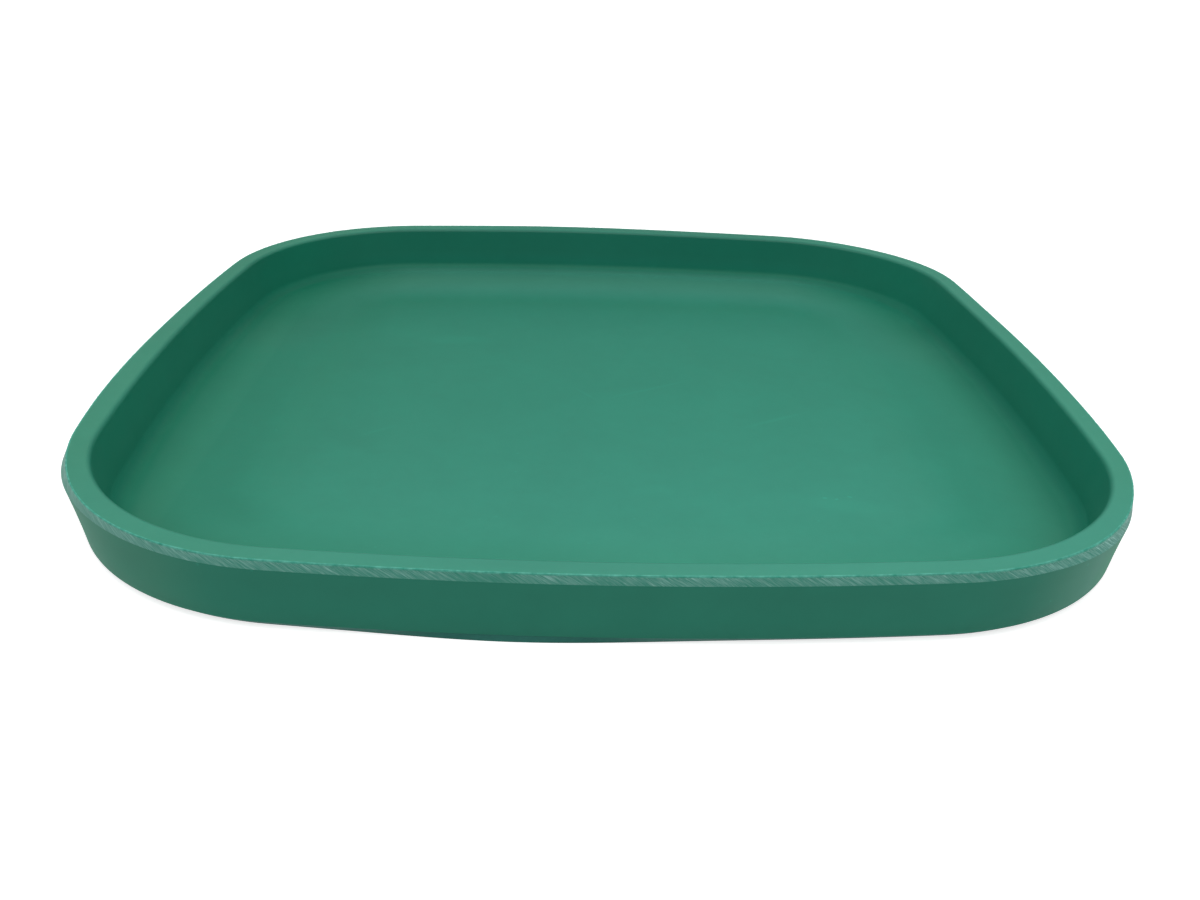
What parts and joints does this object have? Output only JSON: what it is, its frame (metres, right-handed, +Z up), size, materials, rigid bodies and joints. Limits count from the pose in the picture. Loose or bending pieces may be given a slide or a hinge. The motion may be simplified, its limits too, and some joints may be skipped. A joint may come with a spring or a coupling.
{
  "type": "square plant saucer",
  "caption": "Low square saucer with rounded corners and slightly bowed sides, a flat rim, a leaning wall and a flat floor that stands under a plant pot and catches its water.",
  "frame": {"origin": "centre of the flat underside, where the saucer stands", "axes": "+Z up, from the underside to the rim; the four sides face +X, +Y, -X and -Y"},
  "size_m": [0.35, 0.35, 0.024],
  "materials": {
    "moulded_green": "satin mid green, coloured right through, smooth from the mould; the narrow band below the rim is sanded, paler and finely scratched"
  },
  "bodies": {
    "root": {"saucer": "moulded_green"}
  },
  "joints": []
}
